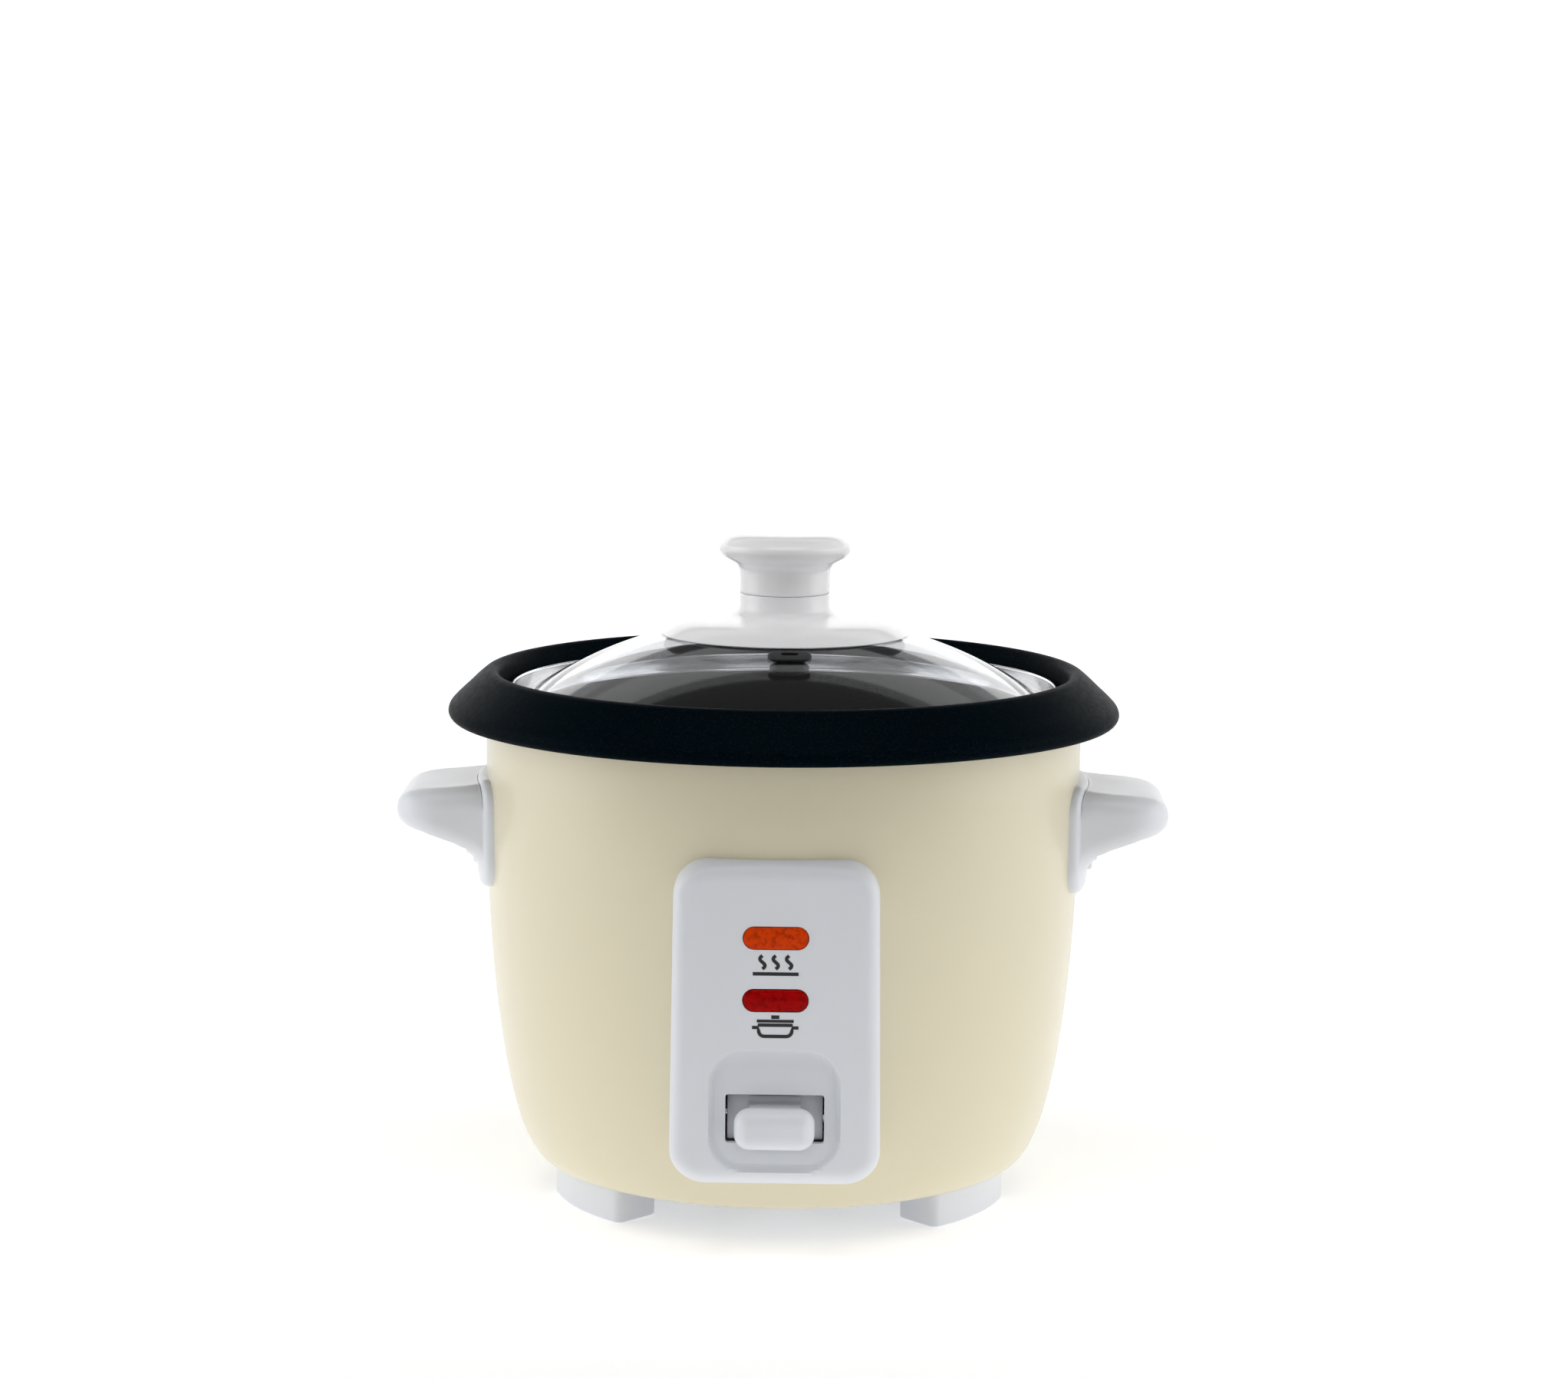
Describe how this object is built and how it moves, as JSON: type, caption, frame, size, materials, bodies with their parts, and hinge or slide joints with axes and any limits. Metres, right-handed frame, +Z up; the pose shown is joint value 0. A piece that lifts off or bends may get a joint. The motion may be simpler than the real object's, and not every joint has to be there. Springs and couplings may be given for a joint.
{
  "type": "rice cooker",
  "caption": "Compact rice cooker: drum body with a front control panel and cook key, side grips, a lift-out pan with a flared rim and a domed glass lid with a knob.",
  "frame": {"origin": "on the body's vertical axis, in the plane under the feet", "axes": "+Z up through the knob, -Y towards the control panel, +X towards the right handle as seen from the front"},
  "size_m": [0.222, 0.1938, 0.1924],
  "materials": {
    "lid_glass": "clear tempered glass",
    "lid_steel": "polished rolled steel band",
    "white_plastic": "satin to glossy moulded plastic, slightly cool white",
    "silicone": "matte dark silicone",
    "nonstick": "black non-stick coating with a fine satin grain",
    "body_paint": "cream baked enamel, soft gloss",
    "aluminium": "cast and spun aluminium, satin",
    "element_steel": "dull heater tube",
    "steel": "zinc plated steel",
    "base_steel": "galvanised sheet",
    "ferrite": "sintered dark grey",
    "lens_orange": "translucent orange lens",
    "lens_red": "translucent dark red lens",
    "ivory_plastic": "heat-resistant moulding",
    "lamp_glass": "small neon bulb",
    "brown_plastic": "phenolic moulding",
    "brass": "plain",
    "mica": "mica sheet heater",
    "dark_plastic": "fine-textured black moulding",
    "wire_silicone": "silicone sleeve"
  },
  "bodies": {
    "root": {"body_shell": "body_paint", "heat_tray": "aluminium", "heating_plate": "aluminium", "heating_element": "element_steel", "plate_standoffs": "steel", "plate_screws": "steel", "sensor_spring": "steel", "control_panel": "white_plastic", "panel_screws": "steel", "warm_lens": "lens_orange", "cook_lens": "lens_red", "lamp_holder": "ivory_plastic", "lamp_bulbs": "lamp_glass", "pivot_pin": "steel", "lever_bracket": "steel", "lever_spring": "steel", "switch_block": "brown_plastic", "contact_leaves": "brass", "thermal_fuse": "ivory_plastic", "keep_warm_heater": "mica", "power_inlet": "dark_plastic", "inlet_pins": "brass", "inlet_screws": "steel", "handle_left": "white_plastic", "handle_right": "white_plastic", "handle_screws": "steel", "support_legs": "steel", "base_cover": "base_steel", "base_screws": "steel", "foot_left": "white_plastic", "foot_right": "white_plastic", "foot_rear": "white_plastic", "foot_screws": "steel", "internal_wires": "wire_silicone"},
    "pan": {"inner_pan": "nonstick", "pan_floor": "nonstick", "pan_rim": "nonstick"},
    "lid": {"lid_glass": "lid_glass", "lid_band": "lid_steel", "knob_cap": "white_plastic", "knob_base": "white_plastic", "knob_gasket": "silicone", "knob_washer": "steel", "knob_screw": "steel", "vent_eyelet": "silicone"},
    "lever": {"cook_key": "white_plastic", "lever_arm": "steel"},
    "magnet_unit": {"magnet": "ferrite", "magnet_rod": "steel"},
    "sensor": {"sensor_cap": "aluminium", "sensor_sleeve": "aluminium", "sensor_ferrite": "ferrite"}
  },
  "joints": [
    {"name": "pan_lift", "type": "slide", "parent": "root", "child": "pan", "axis": [0, 0, 1], "range_m": [0, 0.13]},
    {"name": "lid_lift", "type": "slide", "parent": "pan", "child": "lid", "axis": [0, 0, 1], "range_m": [0, 0.08]},
    {"name": "key_press", "type": "hinge", "parent": "root", "child": "lever", "pos_m": [0, -0.046, 0.033], "axis": [1, 0, 0], "range_deg": [0, 7], "stiffness_Nm_per_rad": 0.3, "springref_deg": -11.46, "deforming": ["lever_spring"]},
    {"name": "magnet_lift", "type": "slide", "parent": "root", "child": "magnet_unit", "axis": [0, 0, 1], "range_m": [0, 0.0058]},
    {"name": "sensor_press", "type": "slide", "parent": "root", "child": "sensor", "axis": [0, 0, 1], "range_m": [0, 0.003], "deforming": ["sensor_spring"]}
  ],
  "couplings": [
    {"joint": "magnet_lift", "follows": "key_press", "m_per_rad": 0.047},
    {"joint": "sensor_press", "follows": "pan_lift", "ratio": 0.023}
  ]
}
